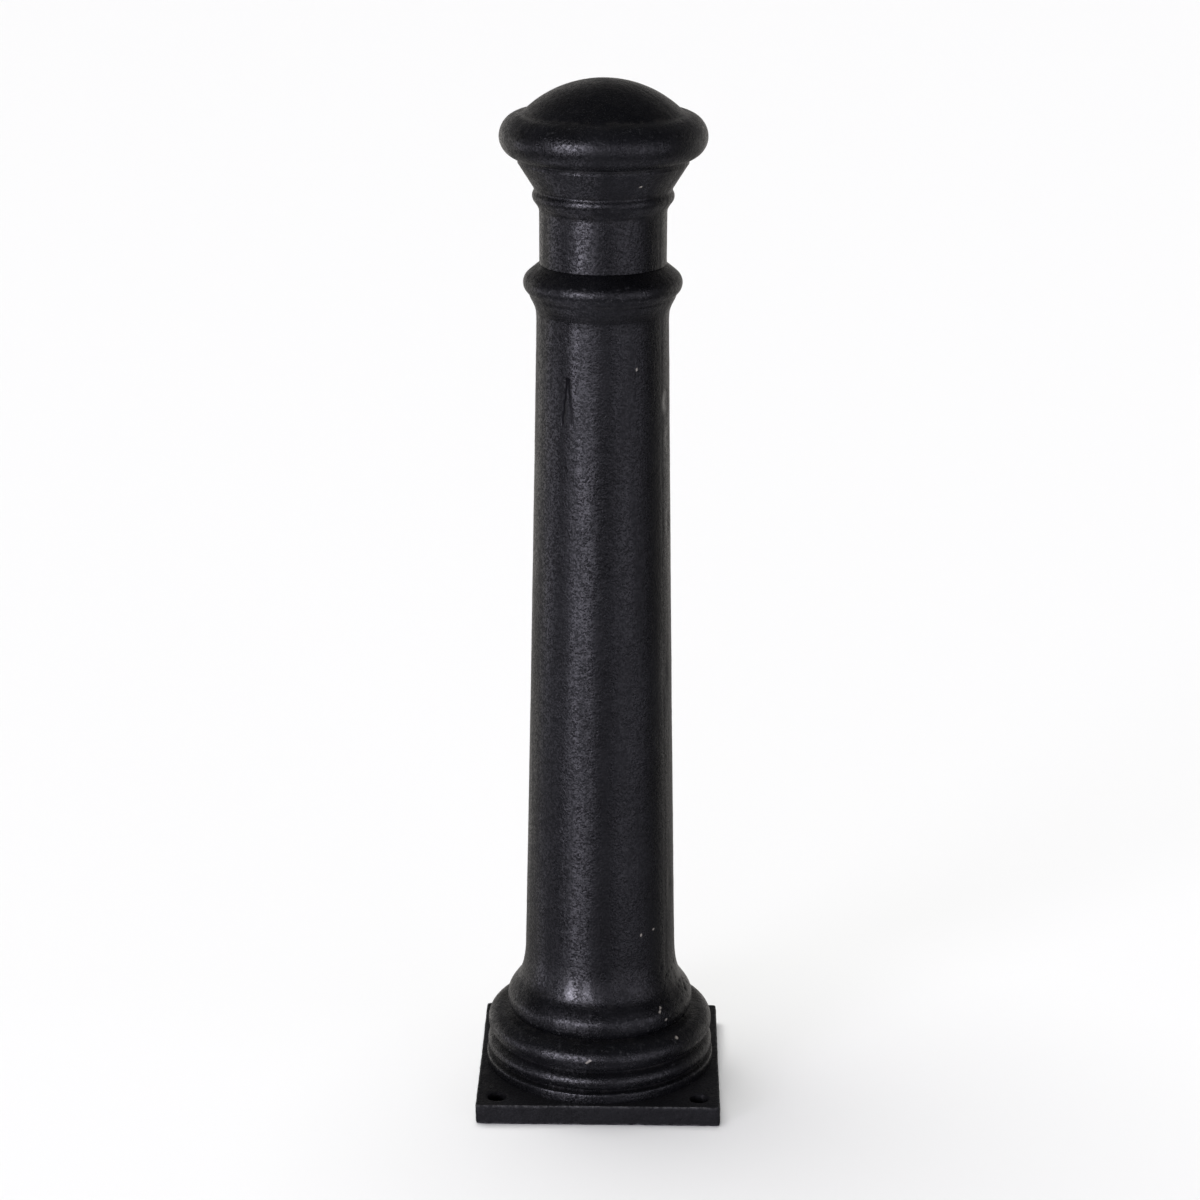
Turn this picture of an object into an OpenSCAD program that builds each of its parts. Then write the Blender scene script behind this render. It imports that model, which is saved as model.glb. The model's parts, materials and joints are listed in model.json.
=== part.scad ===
// Bollard post: a stack of turned-profile castings on a steel core pipe and a square foot plate.
// Z is up. The origin is the centre of the plate's underside. Sizes are in millimetres.

/* [Foot plate] */
// Side of the square plate
plate_w = 230; // [220:1:320]
// Thickness of the plate
plate_t = 19; // [12:0.5:30]
// Radius of the plate's upright corners
plate_corner_r = 4; // [1:0.5:12]
// Distance from the plate's edges to the middle of each anchor hole
anchor_edge = 20; // [16:0.5:24]
// Diameter of the anchor holes
anchor_d = 18; // [10:0.5:24]
// Drain hole in the middle of the plate
drain_d = 30; // [10:1:50]
// Depth of the turned seat that the core pipe stands in
pipe_seat_t = 3; // [1:0.5:8]

/* [Core pipe and stud] */
// Outer diameter of the core pipe, which the castings are sized around
pipe_d = 76.1; // [60:0.1:95]
// Wall of the core pipe
pipe_wall = 5; // [3:0.1:8]
// Thickness of the flange on the pipe's head disc
head_flange_t = 4; // [3:0.5:8]
// Depth of the head disc inside the pipe
head_plug_t = 8; // [5:0.5:14]
// Diameter of the stud that the cap screws on to
stud_d = 16; // [12:1:22]
// Length of the stud below the head disc
stud_tail = 6; // [2:0.5:12]
// Length of the stud inside the cap's boss
stud_grip = 26; // [14:0.5:28]
// Wall of the stud's nut between its thread and a flat
nut_wall = 4; // [3:0.5:7]
// Height of the stud's nut
nut_h = 13; // [8:0.5:16]
// Width of the washer's ring of metal outside the stud
washer_rim = 7; // [5:0.5:10]
// Thickness of the washer
washer_t = 3; // [1.5:0.5:4]
// Height of the lower centring disc above the base joint
disc_lift = 26; // [10:0.5:60]
// Thickness of the lower centring disc
disc_t = 8; // [4:0.5:12]
// Length of the upper centring bush
bush_h = 30; // [15:0.5:40]

/* [Shaft casting] */
// Space between the core pipe and the bore at the top of the shaft
core_space = 3.95; // [2:0.05:8]
// Wall of the spigot at the top of the shaft
top_spigot_wall = 8; // [6:0.5:12]
// How far the top spigot reaches into the neck
top_spigot_lap = 12; // [8:0.5:20]
// Width of the shoulder that the collar stands on
shoulder_w = 10; // [7.5:0.5:14]
// Length of the taper
taper_len = 611; // [350:1:800]
// How much the shaft's radius grows down the taper
taper_growth = 11.2; // [4:0.1:18]
// How far the taper's side bows inward
taper_bow = 0.45; // [0:0.05:1]
// Wall of the shaft
shaft_wall = 10.5; // [8:0.5:13]
// Height of the flare between the taper and the band
flare_h = 53; // [46:0.5:75]
// Sideways reach of the hollow part of the flare
flare_reach = 12; // [9:0.5:14]
// Upright reach of the hollow part of the flare
flare_rise = 42; // [34:0.5:46]
// Height of the band, with its lower bevel
band_h = 14.7; // [11:0.1:20]
// Bevel under the band
band_bevel = 2.4; // [0.5:0.1:4]
// Length of the spigot that locates the shaft in the base
foot_spigot_h = 12; // [8:0.5:14]
// Wall of that spigot
foot_spigot_wall = 9.3; // [6:0.1:11]

/* [Base casting] */
// Width of the deck's ledge that the shaft stands on
ledge_w = 15.75; // [12:0.25:20]
// Thickness of the deck
deck_t = 15; // [12:0.5:18]
// Height of the throat between the upper roll and the band
throat_h = 1.3; // [0.5:0.1:4]
// Section radius of the upper roll
upper_roll_rad = 13.5; // [10:0.5:17]
// Distance from the throat out to the upper roll's section centre
upper_roll_set = 7.8; // [4:0.1:12]
// Section radius of the lower roll
lower_roll_rad = 9.5; // [7:0.5:12]
// How much further out the lower roll's section centre is
lower_roll_set = 4.7; // [2:0.1:8]
// How far the two rolls run into each other
roll_lap = 1.5; // [0.5:0.1:3]
// Height of the plain ring on the plate
ring_h = 9.5; // [7:0.5:15]
// Distance from the lower roll's section centre out to the ring's edge
ring_set = 10.5; // [7:0.5:14]
// Width of the foot that stands on the plate
foot_w = 23; // [21:0.5:27]

/* [Collar ring] */
// Height of the whole collar
collar_h = 44; // [40:0.5:55]
// Height of the hollow moulding under the collar's roll
cove_h = 14; // [9:0.5:16]
// How far that moulding spreads
cove_out = 6.3; // [4:0.1:8]
// How far that moulding is hollowed
cove_bow = 0.6; // [0:0.1:2]
// Section radius of the collar's roll
collar_roll_rad = 11.6; // [9.5:0.1:13]
// Distance from the shaft's top edge out to the roll's section centre
collar_roll_set = 0.5; // [0:0.1:3]
// Height of the roll's section centre above the collar's foot
collar_roll_z = 26.6; // [24:0.1:29]

/* [Neck casting] */
// Wall of the neck around the spigot in it
neck_socket_wall = 7.25; // [6:0.25:12]
// Height of the plain neck
neck_h = 49.5; // [35:0.5:90]
// Wall of the neck above the spigot, whose bore runs on into the cap
neck_wall = 11.5; // [9:0.5:14]
// Height from the plain neck's top to the bead's centre
bead_rise = 11.5; // [9:0.1:14]
// Section radius of the bead
bead_rad = 8.1; // [6:0.1:9]
// How far the bead stands out from the neck
bead_out = 6.35; // [4:0.05:9]
// Height of the bell above the bead
bell_h = 24; // [20:0.5:40]
// How far the bell spreads beyond the neck
bell_out = 19.2; // [14:0.1:24]
// Width of the bell's lip that the cap stands on
bell_lip = 16.45; // [13:0.05:20]

/* [Cap casting] */
// Section radius of the cap's roll
cap_roll_rad = 21.2; // [17:0.1:26]
// Height of the roll's lower half
cap_roll_drop = 19.8; // [15:0.1:26]
// Distance from the bell's edge in to the roll's section centre
cap_roll_set = 4.6; // [2:0.1:8]
// Height of the plain step under the cap's roll
cap_step_h = 4; // [1:0.1:6]
// Radius of the dome
dome_r = 102.4; // [88:0.1:125]
// Wall of the cap
cap_wall = 12; // [8:0.5:14]
// Length of the spigot that locates the cap in the bell
cap_spigot_h = 9.7; // [6:0.1:12]
// Wall of the tapped boss under the dome
boss_wall = 10; // [6:0.5:14]
// Gap from the cap's joint up to the boss
boss_lift = 8; // [4:0.5:12]
// Depth of the tapped hole beyond the stud
tap_runout = 14; // [2:0.5:16]

/* [Screws and dowels] */
// Diameter of the screws that hold the base casting to the plate
screw_d = 8; // [6:0.5:8]
// Length of screw in the base casting
screw_grip = 16.3; // [10:0.1:18]
// Distance from the base's cavity out to the middle of each screw
screw_inset = 8; // [7:0.5:9]
// Distance of the screw heads above the floor
screw_sink = 0.3; // [0.1:0.1:2]
// Diameter of the dowels between base and shaft
base_dowel_d = 8; // [5:0.5:9]
// Length of the dowels between base and shaft
base_dowel_len = 20; // [12:0.5:20]
// Diameter of the dowels between shaft and collar
collar_dowel_d = 6; // [3:0.5:6]
// Length of the dowels between shaft and collar
collar_dowel_len = 16; // [8:0.5:16]
// Diameter of the dowels between collar and neck
neck_dowel_d = 4; // [2:0.5:4]
// Length of the dowels between collar and neck
neck_dowel_len = 16; // [8:0.5:18]

/* [Fits] */
// Radial clearance of a spigot in its socket
spigot_gap = 0.25; // [0.1:0.05:0.6]
// Clearance at the blind end of a spigot
end_gap = 0.3; // [0.1:0.1:1]
// Radial clearance of a centring piece inside the shaft
centring_gap = 0.3; // [0.1:0.1:1]
// Radial clearance of a screw or stud in a plain hole
hole_gap = 0.5; // [0.2:0.1:1.5]
// Depth of a tapped hole beyond the end of its screw
blind_gap = 3.7; // [0.2:0.1:5]
// Space between the stud's nut and the cap's joint
nut_drop = 2; // [0.5:0.5:6]

/* [Hidden] */

iron = [0.13, 0.14, 0.15];
plate_iron = [0.2, 0.2, 0.21];
steel = [0.55, 0.56, 0.58];
zinc = [0.72, 0.72, 0.68];
fine = 96;
round_off = 1.5;
over = 1;

// Radii, worked outward from the core pipe
pipe_r = pipe_d / 2;
pipe_bore_r = pipe_r - pipe_wall;
stud_r = stud_d / 2;
screw_r = screw_d / 2;
top_spigot_bore = pipe_r + core_space;
top_spigot_r = top_spigot_bore + top_spigot_wall;
shaft_top_r = top_spigot_r + shoulder_w;
shaft_low_r = shaft_top_r + taper_growth;
shaft_bore_top = shaft_top_r - shaft_wall;
shaft_bore_low = shaft_low_r - shaft_wall;
foot_spigot_r = shaft_bore_low + foot_spigot_wall;
throat_r = foot_spigot_r + spigot_gap + ledge_w;
band_r = throat_r + band_bevel;
upper_roll_r = throat_r + upper_roll_set;
lower_roll_r = upper_roll_r + lower_roll_set;
ring_r = lower_roll_r + ring_set;
base_cavity_r = ring_r - foot_w;
screw_circle_r = base_cavity_r + screw_inset;
cove_r = shaft_top_r + cove_out;
collar_roll_r = shaft_top_r + collar_roll_set;
neck_r = top_spigot_r + spigot_gap + neck_socket_wall;
neck_bore_r = neck_r - neck_wall;
bead_r = neck_r + bead_out - bead_rad;
bell_r = neck_r + bell_out;
cap_spigot_r = bell_r - bell_lip - spigot_gap;
cap_mouth_r = neck_bore_r;
cap_roll_r = bell_r - cap_roll_set;
boss_r = stud_r + boss_wall;
washer_r = stud_r + washer_rim;
nut_corner_r = (stud_r + nut_wall) / cos(30);

// Heights, worked upward from the floor
ring_top = plate_t + ring_h;
lower_roll_z = ring_top + lower_roll_rad;
upper_roll_z = lower_roll_z + lower_roll_rad + upper_roll_rad - roll_lap;
base_top = upper_roll_z + upper_roll_rad + throat_h;
band_top = base_top + band_h;
taper_foot = band_top + flare_h;
shaft_top = taper_foot + taper_len;
collar_top = shaft_top + collar_h;
top_spigot_end = collar_top + top_spigot_lap;
neck_top = collar_top + neck_h;
bead_z = neck_top + bead_rise;
bead_turn = 44;
bead_top = bead_z + bead_rad * sin(bead_turn);
cap_foot = bead_top + bell_h;
cap_spigot_end = cap_foot - cap_spigot_h;
bell_socket_floor = cap_spigot_end - end_gap;
cap_roll_low = -acos(cap_roll_set / cap_roll_rad);
cap_roll_z = cap_foot + cap_step_h - cap_roll_drop * sin(cap_roll_low);
dome_foot = acos(cap_roll_r / dome_r);
dome_z = cap_roll_z + cap_roll_rad - dome_r * sin(dome_foot);
boss_foot = cap_foot + boss_lift;
pipe_foot = plate_t - pipe_seat_t;
pipe_top = cap_foot - nut_drop - nut_h - washer_t - head_flange_t;
head_top = pipe_top + head_flange_t;
head_foot = pipe_top - head_plug_t;
washer_top = head_top + washer_t;
stud_foot = head_foot - stud_tail;
stud_top = boss_foot + stud_grip;
disc_z = base_top + disc_lift;
bush_z = shaft_top + collar_h / 2 - bush_h / 2;

// The flare leaves the taper as part of an ellipse and meets the band as a bulging arc
flare_turn = 72;
flare_mid = [shaft_low_r + flare_reach * (1 - cos(flare_turn)), taper_foot - flare_rise * sin(flare_turn)];
flare_lean = atan(flare_reach * sin(flare_turn) / (flare_rise * cos(flare_turn)));
flare_chord = [band_r - flare_mid[0], flare_mid[1] - band_top];
flare_chord_lean = atan(flare_chord[0] / flare_chord[1]);
flare_bulge_rad = norm(flare_chord) / (2 * sin(flare_lean - flare_chord_lean));
flare_end_lean = 2 * flare_chord_lean - flare_lean;

// Circles that the dowels stand on, in the middle of the joint faces they cross
base_dowel_r = throat_r - ledge_w / 2;
collar_dowel_r = top_spigot_r + shoulder_w / 2;
neck_dowel_r = neck_r - neck_socket_wall / 2;

// Points along an elliptical arc from angle a0 to a1
function arc(cr, cz, rr, rz, a0, a1, n) =
    [for (i = [0 : n]) let (a = a0 + (a1 - a0) * i / n) [cr + rr * cos(a), cz + rz * sin(a)]];

// Points up the taper, which bows inward between its ends
function taper(n) =
    [for (i = [0 : n]) let (t = i / n)
        [shaft_low_r - taper_growth * t - 4 * taper_bow * t * (1 - t), taper_foot + taper_len * t]];

// A solid of revolution about Z
module turned_solid(points) {
    rotate_extrude($fn = fine)
        polygon(points);
}

// An upright cylinder from height z0 to z1
module post(r, z0, z1) {
    translate([0, 0, z0])
        cylinder(r = r, h = z1 - z0, $fn = fine);
}

// An upright tube from height z0 to z1
module tube(r, bore_r, z0, z1) {
    difference() {
        post(r, z0, z1);
        post(bore_r, z0 - over, z1 + over);
    }
}

// Copies of the children on a circle about Z
module around(count, circle_r, first = 0) {
    for (i = [0 : count - 1])
        rotate([0, 0, first + i * 360 / count])
            translate([circle_r, 0, 0])
                children();
}

// Two dowels across the joint at height z, which are also the holes for them
module dowel_pair(d, length, circle_r, z) {
    around(2, circle_r, 90)
        post(d / 2, z - length / 2, z + length / 2);
}

// One countersunk screw, head down, or the hole for it in the plate and the casting
module countersunk_screw(gap) {
    head_r = 2 * screw_r;
    foot = gap > 0 ? 0 : screw_sink;
    rim_r = head_r + screw_sink - foot;
    translate([0, 0, foot])
        cylinder(r1 = rim_r, r2 = screw_r, h = rim_r - screw_r, $fn = fine);
    post(screw_r + gap, foot, plate_t);
}

module foot_plate() {
    flat_w = plate_w - 2 * plate_corner_r;
    corner = flat_w / 2;
    anchor_at = plate_w / 2 - anchor_edge;
    color(plate_iron)
        difference() {
            union() {
                translate([-flat_w / 2, -plate_w / 2, 0])
                    cube([flat_w, plate_w, plate_t]);
                translate([-plate_w / 2, -flat_w / 2, 0])
                    cube([plate_w, flat_w, plate_t]);
                for (x = [-corner, corner], y = [-corner, corner])
                    translate([x, y, 0])
                        cylinder(r = plate_corner_r, h = plate_t, $fn = fine);
            }
            for (x = [-anchor_at, anchor_at], y = [-anchor_at, anchor_at])
                translate([x, y, -over])
                    cylinder(d = anchor_d, h = plate_t + 2 * over, $fn = fine);
            post(drain_d / 2, -over, plate_t + over);
            post(pipe_r + spigot_gap, pipe_foot, plate_t + over);
            around(4, screw_circle_r)
                union() {
                    countersunk_screw(hole_gap);
                    post(screw_r + hole_gap, plate_t - over, plate_t + over);
                }
        }
}

module core_pipe() {
    color(steel)
        tube(pipe_r, pipe_bore_r, pipe_foot, pipe_top);
}

module base_casting() {
    outline = concat(
        [[0, plate_t], [ring_r, plate_t]],
        arc(ring_r - round_off, ring_top - round_off, round_off, round_off, 0, 90, 4),
        arc(lower_roll_r, lower_roll_z, lower_roll_rad, lower_roll_rad, -65, 68, 16),
        arc(upper_roll_r, upper_roll_z, upper_roll_rad, upper_roll_rad, -62, 90, 18),
        [[throat_r, upper_roll_z + upper_roll_rad], [throat_r, base_top], [0, base_top]]);
    color(iron)
        difference() {
            turned_solid(outline);
            post(base_cavity_r, plate_t - over, base_top - deck_t);
            post(foot_spigot_r + spigot_gap, base_top - deck_t - over, base_top + over);
            around(4, screw_circle_r)
                post(screw_r, plate_t - over, plate_t + screw_grip + blind_gap);
            dowel_pair(base_dowel_d, base_dowel_len, base_dowel_r, base_top);
        }
}

module base_screws() {
    color(zinc)
        around(4, screw_circle_r)
            union() {
                countersunk_screw(0);
                post(screw_r, plate_t - over, plate_t + screw_grip);
            }
}

module shaft_casting() {
    outline = concat(
        [[0, base_top - foot_spigot_h], [foot_spigot_r, base_top - foot_spigot_h],
         [foot_spigot_r, base_top], [throat_r, base_top], [band_r, base_top + band_bevel]],
        arc(flare_mid[0] - flare_bulge_rad * cos(flare_lean), flare_mid[1] - flare_bulge_rad * sin(flare_lean),
            flare_bulge_rad, flare_bulge_rad, flare_end_lean, flare_lean, 6),
        arc(shaft_low_r + flare_reach, taper_foot, flare_reach, flare_rise, 180 + flare_turn - 9, 189, 7),
        taper(8),
        [[top_spigot_r, shaft_top], [top_spigot_r, top_spigot_end], [0, top_spigot_end]]);
    hollow = [
        [0, base_top - foot_spigot_h - over], [shaft_bore_low, base_top - foot_spigot_h - over],
        [shaft_bore_low, taper_foot], [shaft_bore_top, shaft_top - 2 * shaft_wall],
        [top_spigot_bore, shaft_top - shaft_wall], [top_spigot_bore, top_spigot_end + over],
        [0, top_spigot_end + over]];
    color(iron)
        difference() {
            turned_solid(outline);
            turned_solid(hollow);
            dowel_pair(base_dowel_d, base_dowel_len, base_dowel_r, base_top);
            dowel_pair(collar_dowel_d, collar_dowel_len, collar_dowel_r, shaft_top);
        }
}

module collar_ring() {
    roll_z = shaft_top + collar_roll_z;
    roll_low = -acos((cove_r - collar_roll_r) / collar_roll_rad);
    outline = concat(
        [[0, shaft_top]],
        [for (i = [0 : 6]) let (t = i / 6)
            [shaft_top_r + cove_out * t - 4 * cove_bow * t * (1 - t), shaft_top + cove_h * t]],
        arc(collar_roll_r, roll_z, collar_roll_rad, collar_roll_rad, roll_low, 55, 16),
        [[neck_r, collar_top], [0, collar_top]]);
    color(iron)
        difference() {
            turned_solid(outline);
            post(top_spigot_r + spigot_gap, shaft_top - over, collar_top + over);
            dowel_pair(collar_dowel_d, collar_dowel_len, collar_dowel_r, shaft_top);
            dowel_pair(neck_dowel_d, neck_dowel_len, neck_dowel_r, collar_top);
        }
}

module neck_casting() {
    quirk = 0.8;
    outline = concat(
        [[0, collar_top], [neck_r, collar_top], [neck_r, neck_top]],
        arc(bead_r, bead_z, bead_rad, bead_rad, -50, bead_turn, 12),
        [[bead_r + bead_rad * cos(bead_turn) + quirk, bead_top + quirk],
         [bead_r + bead_rad * cos(bead_turn) + quirk, bead_top + 2 * quirk],
         [bell_r, cap_foot], [0, cap_foot]]);
    color(iron)
        difference() {
            turned_solid(outline);
            post(neck_bore_r, collar_top - over, cap_foot + over);
            post(top_spigot_r + spigot_gap, collar_top - over, top_spigot_end + end_gap);
            post(cap_spigot_r + spigot_gap, bell_socket_floor, cap_foot + over);
            dowel_pair(neck_dowel_d, neck_dowel_len, neck_dowel_r, collar_top);
        }
}

module cap_casting() {
    core_rad = cap_roll_rad - cap_wall;
    dome_bore = dome_r - cap_wall;
    join_r = cap_roll_r - core_rad / 2;
    outline = concat(
        [[0, cap_spigot_end], [cap_spigot_r, cap_spigot_end], [cap_spigot_r, cap_foot], [bell_r, cap_foot]],
        arc(cap_roll_r, cap_roll_z, cap_roll_rad, cap_roll_drop, cap_roll_low, 0, 12),
        arc(cap_roll_r, cap_roll_z, cap_roll_rad, cap_roll_rad, 7, 90, 12),
        arc(0, dome_z, dome_r, dome_r, dome_foot + 1, 90, 20));
    hollow = concat(
        [[boss_r, cap_spigot_end - over], [cap_mouth_r, cap_spigot_end - over],
         [cap_mouth_r, cap_foot + cap_wall / 2]],
        arc(cap_roll_r, cap_roll_z, core_rad, core_rad, -60, 120, 12),
        arc(0, dome_z, dome_bore, dome_bore, acos(join_r / dome_bore) + 1, acos(boss_r / dome_bore), 8));
    color(iron)
        difference() {
            turned_solid(outline);
            turned_solid(hollow);
            post(boss_r + over, cap_spigot_end - over, boss_foot);
            post(stud_r, boss_foot - over, stud_top + tap_runout);
        }
}

module pipe_head_disc() {
    color(steel)
        difference() {
            union() {
                post(pipe_bore_r, head_foot, pipe_top);
                post(pipe_r, pipe_top, head_top);
            }
            post(stud_r, head_foot - over, head_top + over);
        }
}

module cap_stud() {
    color(zinc)
        post(stud_r, stud_foot, stud_top);
}

module stud_washer() {
    color(zinc)
        tube(washer_r, stud_r + hole_gap, head_top, washer_top);
}

module stud_nut() {
    color(zinc)
        difference() {
            translate([0, 0, washer_top])
                cylinder(r = nut_corner_r, h = nut_h, $fn = 6);
            post(stud_r, washer_top - over, washer_top + nut_h + over);
        }
}

module lower_centring_disc() {
    color(steel)
        tube(shaft_bore_low - centring_gap, pipe_r, disc_z, disc_z + disc_t);
}

module upper_centring_bush() {
    color(steel)
        tube(top_spigot_bore - centring_gap, pipe_r, bush_z, bush_z + bush_h);
}

module base_dowels() {
    color(zinc)
        dowel_pair(base_dowel_d, base_dowel_len, base_dowel_r, base_top);
}

module collar_dowels() {
    color(zinc)
        dowel_pair(collar_dowel_d, collar_dowel_len, collar_dowel_r, shaft_top);
}

module neck_dowels() {
    color(zinc)
        dowel_pair(neck_dowel_d, neck_dowel_len, neck_dowel_r, collar_top);
}

foot_plate();
core_pipe();
base_casting();
base_screws();
shaft_casting();
collar_ring();
neck_casting();
cap_casting();
pipe_head_disc();
cap_stud();
stud_washer();
stud_nut();
lower_centring_disc();
upper_centring_bush();
base_dowels();
collar_dowels();
neck_dowels();
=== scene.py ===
import bpy, bmesh, json, math, random
from mathutils import Matrix, Vector, noise


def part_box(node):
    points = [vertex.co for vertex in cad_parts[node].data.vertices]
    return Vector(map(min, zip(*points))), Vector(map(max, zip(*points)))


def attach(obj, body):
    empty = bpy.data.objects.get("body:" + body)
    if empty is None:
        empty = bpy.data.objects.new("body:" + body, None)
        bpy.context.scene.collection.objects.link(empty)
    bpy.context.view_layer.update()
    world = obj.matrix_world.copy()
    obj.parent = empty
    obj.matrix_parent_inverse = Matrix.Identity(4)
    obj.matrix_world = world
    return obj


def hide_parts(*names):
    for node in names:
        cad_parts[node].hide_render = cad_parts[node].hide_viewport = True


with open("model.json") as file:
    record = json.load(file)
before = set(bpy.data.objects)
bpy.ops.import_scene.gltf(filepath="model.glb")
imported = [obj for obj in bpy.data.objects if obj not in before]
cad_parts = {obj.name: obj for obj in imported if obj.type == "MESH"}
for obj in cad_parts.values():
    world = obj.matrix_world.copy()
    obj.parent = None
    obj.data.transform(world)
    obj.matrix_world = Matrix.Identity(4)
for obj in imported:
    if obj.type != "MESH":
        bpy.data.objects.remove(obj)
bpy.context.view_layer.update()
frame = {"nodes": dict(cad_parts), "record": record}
mm = 0.001  # outlines are drawn in millimetres

print("camera")
cameraSet = {
    "place": (0.0407, -2.8278, 1.3682),
    "turn": 0.854,      # degrees about Z
    "dip": 17.44,       # degrees below level
    "roll": 0.232,
    "lens": 96.0,       # on a 36 mm sensor
}


def makeCamera(s):
    data = bpy.data.cameras.new("camera")
    data.lens = s["lens"]
    data.sensor_width = 36.0
    camera = bpy.data.objects.new("camera", data)
    turn = Matrix.Rotation(math.radians(s["turn"]), 4, "Z")
    dip = Matrix.Rotation(math.radians(90 - s["dip"]), 4, "X")
    roll = Matrix.Rotation(math.radians(s["roll"]), 4, "Z")
    camera.matrix_world = Matrix.Translation(s["place"]) @ turn @ dip @ roll
    bpy.context.scene.collection.objects.link(camera)
    bpy.context.scene.camera = camera


makeCamera(cameraSet)


def add(tree, kind, values=None, **settings):  # one node, with its inputs set or linked
    made = tree.nodes.new("ShaderNode" + kind)
    for name, value in settings.items():
        setattr(made, name, value)
    for name, value in (values or {}).items():
        if isinstance(value, bpy.types.NodeSocket):
            tree.links.new(value, made.inputs[name])
        else:
            made.inputs[name].default_value = value
    return made


def calc(tree, operation, *values):
    return add(tree, "Math", dict(enumerate(values)), operation=operation).outputs[0]


def fade(tree, value, low, high, start=0.0, end=1.0):
    given = {"Value": value, "From Min": low, "From Max": high, "To Min": start, "To Max": end}
    return add(tree, "MapRange", given, interpolation_type="SMOOTHSTEP").outputs[0]


def tinted(tree, mask, under, upper):
    return add(tree, "Mix", {0: mask, 6: under, 7: upper}, data_type="RGBA").outputs[2]


print("studio")
studioSet = {
    "floorColour": (0.86, 0.86, 0.85),
    "floorSize": 60.0,
    "floorRough": 0.9,
    "floorSheen": 0.1,
    "sunPower": 3.3,                    # even light for the pale floor
    "sunSoft": 50.0,                    # degrees
    "sunTilt": (-12.0, -10.0),          # degrees about X and Y
    "cool": (0.96, 0.93, 1.1),
    "warm": (1.04, 1.0, 0.95),
    "roomLight": 0.02,
    "softEdge": 4.0,                    # degrees
    "boxes": (                          # left and right of front, low and high in degrees, strength
        (-50, -32, 0, 20, 9.8),
        (-50, -32, -20, 0, 3.3),
        (-32, -15, 0, 20, 3.2),
        (-32, -15, -20, 0, 1.6),
        (-15, 2, 0, 20, 3.6),
        (20, 45, -20, 20, 1.5),
        (45, 75, -20, 22, 1.0),
        (-110, -75, -20, 0, 0.9),
        (-130, -40, -100, -45, 0.5),
        (-40, 40, -100, -45, 0.32),
        (40, 130, -100, -45, 0.35),
    ),
    "backBoxes": (                      # the same on both sides, the far edge past straight behind
        (110, 400, -45, -20, 0.2),
        (110, 400, -20, 0, 0.42),
        (110, 400, 0, 20, 0.27),
        (110, 400, 20, 45, 0.06),
    ),
}


def between(tree, value, low, high, soft):
    rise = fade(tree, value, low - soft, low + soft)
    return calc(tree, "MULTIPLY", rise, fade(tree, value, high - soft, high + soft, 1, 0))


def boxMask(tree, side, height, box, soft):  # one soft box as a patch of the sky
    left, right, low, high, strength = box
    across = between(tree, side, left, right, soft)
    up = between(tree, height, low, high, soft)
    return calc(tree, "MULTIPLY", calc(tree, "MULTIPLY", across, up), strength)


def makeStudio(s):
    bpy.context.scene.view_settings.view_transform = "Standard"
    sun = bpy.data.lights.new("sun", "SUN")
    sun.energy = s["sunPower"]
    sun.angle = math.radians(s["sunSoft"])
    even = bpy.data.objects.new("sun", sun)
    even.rotation_euler = (*map(math.radians, s["sunTilt"]), 0)
    even.visible_glossy = False
    bpy.context.scene.collection.objects.link(even)
    world = bpy.data.worlds.new("studio")
    world.use_nodes = True
    tree = world.node_tree
    tree.nodes.clear()
    x, y, z = add(tree, "SeparateXYZ", {0: add(tree, "TexCoord").outputs["Generated"]}).outputs
    side = calc(tree, "DEGREES", calc(tree, "ARCTAN2", x, calc(tree, "MULTIPLY", y, -1.0)))
    height = calc(tree, "DEGREES", calc(tree, "ARCSINE", z))
    front, back = s["roomLight"], 0.0
    for box in s["boxes"]:
        front = calc(tree, "ADD", front, boxMask(tree, side, height, box, s["softEdge"]))
    eitherSide = calc(tree, "ABSOLUTE", side)
    for box in s["backBoxes"]:
        back = calc(tree, "ADD", back, boxMask(tree, eitherSide, height, box, s["softEdge"]))
    lit = add(tree, "Background", {"Color": (*s["cool"], 1), "Strength": front})
    warm = add(tree, "Background", {"Color": (*s["warm"], 1), "Strength": back})
    both = add(tree, "AddShader", {0: lit.outputs[0], 1: warm.outputs[0]})
    tree.links.new(both.outputs[0], add(tree, "OutputWorld").inputs[0])
    bpy.context.scene.world = world


makeStudio(studioSet)

print("finishes")


def stretched(tree, scale):  # object coordinates, squeezed or drawn out
    place = add(tree, "TexCoord").outputs["Object"]
    return add(tree, "Mapping", {"Vector": place, "Scale": scale}).outputs[0]


def cloud(tree, scale, detail=2.0, rough=0.5, stretch=(1, 1, 1)):
    given = {"Vector": stretched(tree, stretch), "Scale": scale, "Detail": detail, "Roughness": rough}
    return add(tree, "TexNoise", given).outputs["Fac"]


def cells(tree, scale):
    return add(tree, "TexVoronoi", {"Vector": stretched(tree, (1, 1, 1)), "Scale": scale}).outputs


def attribute(tree, name):
    return add(tree, "Attribute", attribute_name=name).outputs["Fac"]


def newGroup(name, inputs, outputs):
    group = bpy.data.node_groups.new(name, "ShaderNodeTree")
    for label, value in inputs.items():
        socket = group.interface.new_socket(name=label, in_out="INPUT", socket_type="NodeSocketFloat")
        socket.default_value = value
    for label in outputs:
        group.interface.new_socket(name=label, in_out="OUTPUT", socket_type="NodeSocketFloat")
    start = group.nodes.new("NodeGroupInput")
    end = group.nodes.new("NodeGroupOutput")
    return group, start.outputs, end.inputs


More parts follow.
